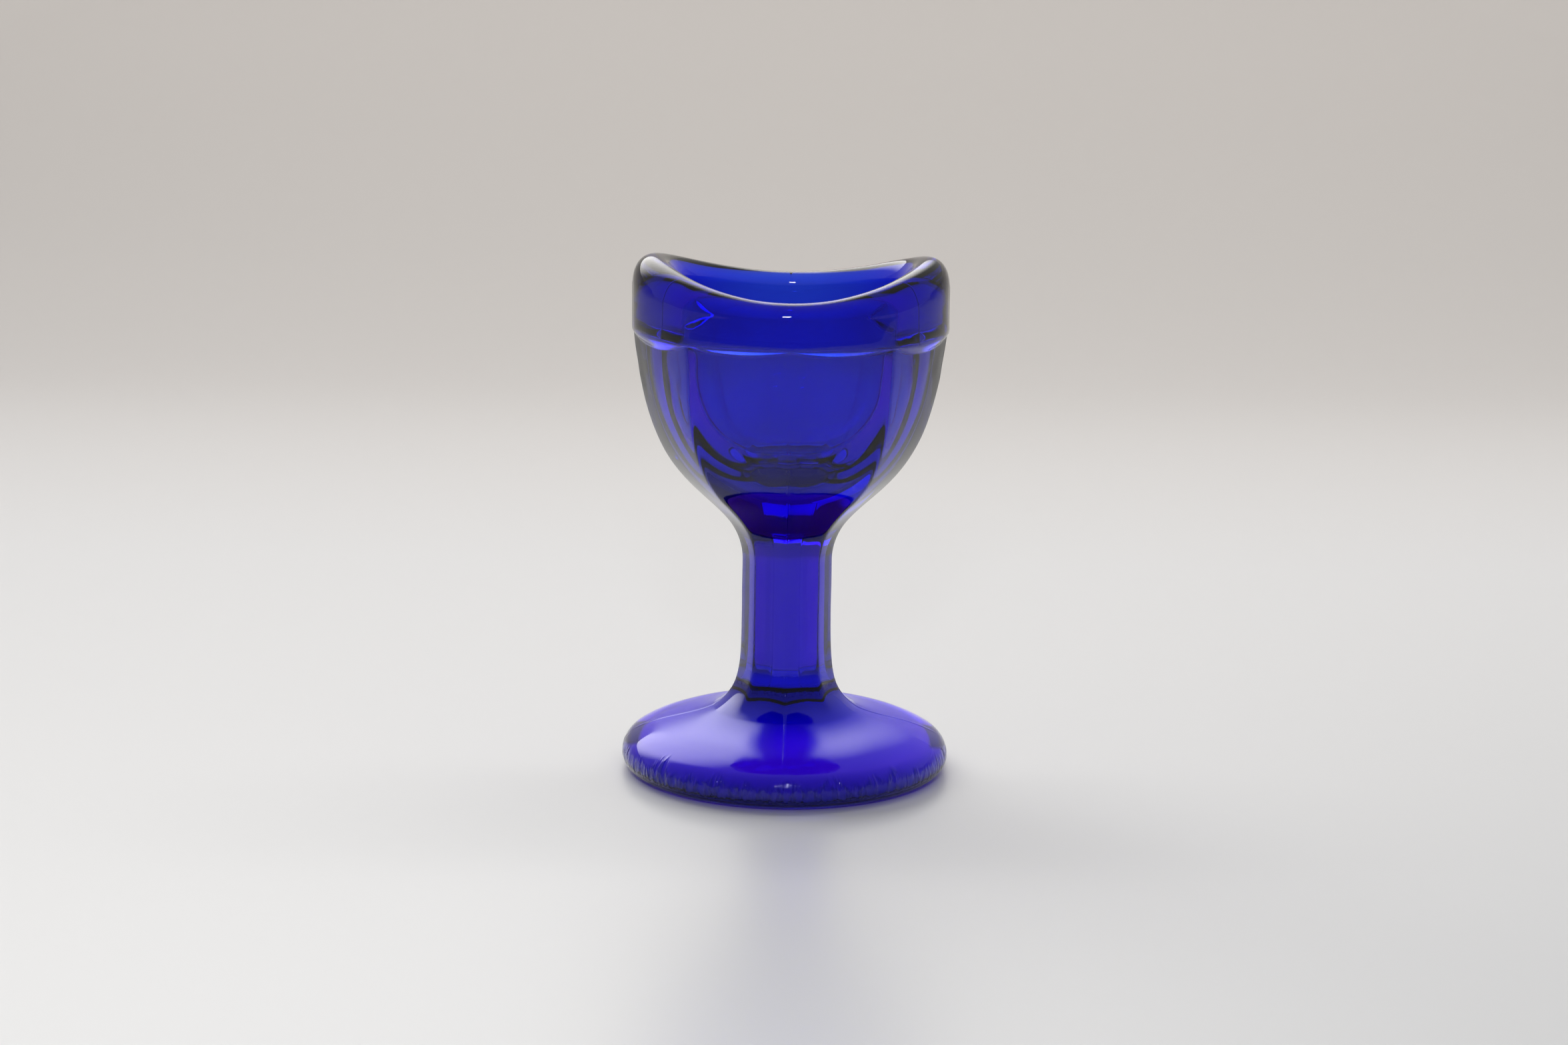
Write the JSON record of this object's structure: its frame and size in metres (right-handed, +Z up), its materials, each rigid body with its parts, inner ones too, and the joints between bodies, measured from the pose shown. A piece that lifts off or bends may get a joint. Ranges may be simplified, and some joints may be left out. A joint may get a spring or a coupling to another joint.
{
  "type": "eye wash cup",
  "caption": "Cobalt glass eye wash cup: an oval, panelled bowl with a saddle-shaped rim, on an eight-sided stem and a round foot.",
  "frame": {"origin": "centre of the level the foot rests on, under the stem's axis", "axes": "+Z up through the stem and bowl; +X towards one raised end of the rim; -Y is the front, square to the long way of the oval bowl"},
  "size_m": [0.042, 0.042, 0.0665],
  "materials": {
    "cobalt_glass": "clear cobalt-blue pressed glass, fire polished"
  },
  "bodies": {
    "root": {"rim": "cobalt_glass", "bowl": "cobalt_glass", "stem": "cobalt_glass", "foot": "cobalt_glass"}
  },
  "joints": []
}
